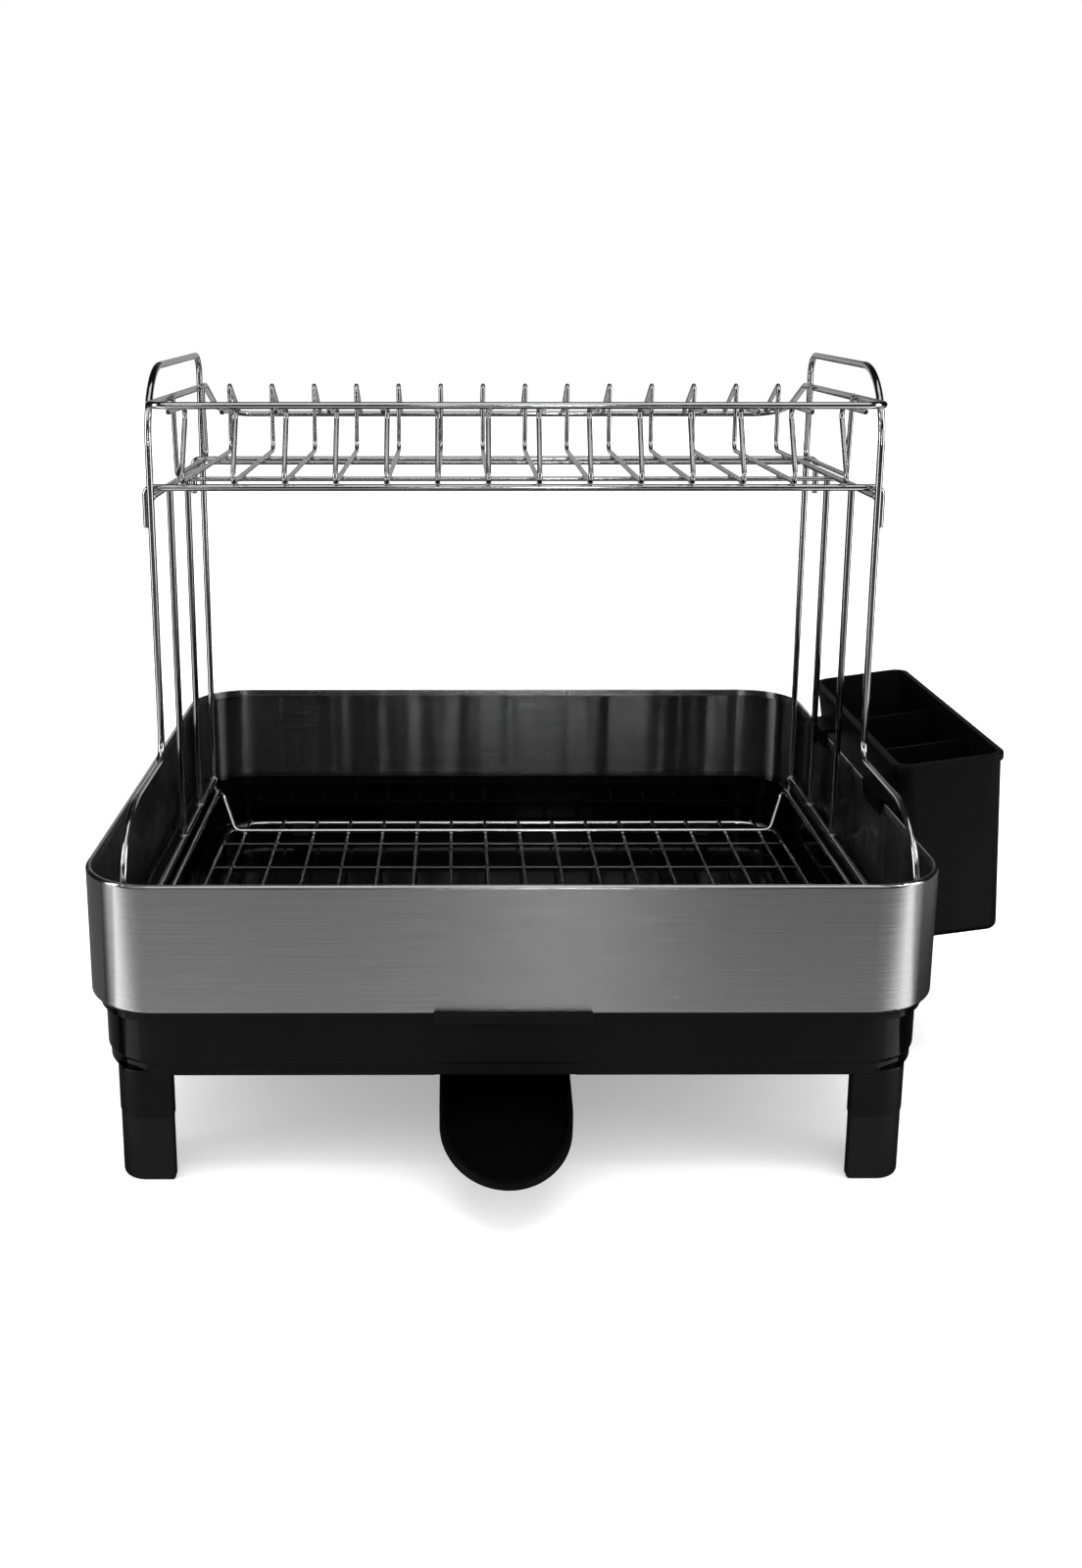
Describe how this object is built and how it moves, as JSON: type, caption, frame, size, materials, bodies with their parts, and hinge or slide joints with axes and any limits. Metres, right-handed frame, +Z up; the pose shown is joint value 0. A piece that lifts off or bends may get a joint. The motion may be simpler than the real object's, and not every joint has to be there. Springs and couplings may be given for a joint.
{
  "type": "dish drying rack",
  "caption": "Two-tier dish drying rack: black drip tray in a brushed steel band, lift-out chrome wire rack, hang-on upper plate basket, hang-on cutlery caddy and swivelling drain spout.",
  "frame": {"origin": "on the floor under the middle of the overall bounding box", "axes": "+Z up, +Y from the spout side towards the back, +X to the right seen from the front (caddy side)"},
  "size_m": [0.4968, 0.4306, 0.4062],
  "materials": {
    "black_plastic": "matte moulded",
    "brushed_steel": "fine horizontal brushing",
    "chrome_wire": "bright plated wire",
    "soft_foot": "soft"
  },
  "bodies": {
    "base": {"drip_tray": "black_plastic", "steel_band": "brushed_steel", "foot_front_left": "black_plastic", "foot_front_right": "black_plastic", "foot_rear_left": "black_plastic", "foot_rear_right": "black_plastic"},
    "spout": {"drain_spout": "black_plastic", "drain_strainer": "black_plastic"},
    "wire_rack": {"left_hoop": "chrome_wire", "left_crossbar": "chrome_wire", "left_rail": "chrome_wire", "left_mid_posts": "chrome_wire", "right_hoop": "chrome_wire", "right_crossbar": "chrome_wire", "right_rail": "chrome_wire", "right_mid_posts": "chrome_wire", "rack_frame_wire": "chrome_wire", "rack_floor_wires": "chrome_wire", "rack_cross_wires": "chrome_wire", "rack_base_ring": "chrome_wire", "rack_feet": "soft_foot"},
    "upper_basket": {"basket_rim": "chrome_wire", "basket_front_bar": "chrome_wire", "basket_back_bar": "chrome_wire", "basket_mid_bars": "chrome_wire", "basket_dividers": "chrome_wire", "basket_left_end_wire": "chrome_wire", "basket_right_end_wire": "chrome_wire"},
    "cutlery_caddy": {"caddy_shell": "black_plastic"}
  },
  "joints": [
    {"name": "spout_swivel", "type": "hinge", "parent": "base", "child": "spout", "pos_m": [-0.03658, -0.0963, 0.057], "axis": [0, 0, 1], "range_deg": [-90, 90]},
    {"name": "rack_lift", "type": "slide", "parent": "base", "child": "wire_rack", "axis": [0, 0, 1], "range_m": [0, 0.11]},
    {"name": "basket_lift", "type": "slide", "parent": "wire_rack", "child": "upper_basket", "axis": [0, 0, 1], "range_m": [0, 0.03]},
    {"name": "caddy_lift", "type": "slide", "parent": "base", "child": "cutlery_caddy", "axis": [0, 0, 1], "range_m": [0, 0.09]}
  ]
}
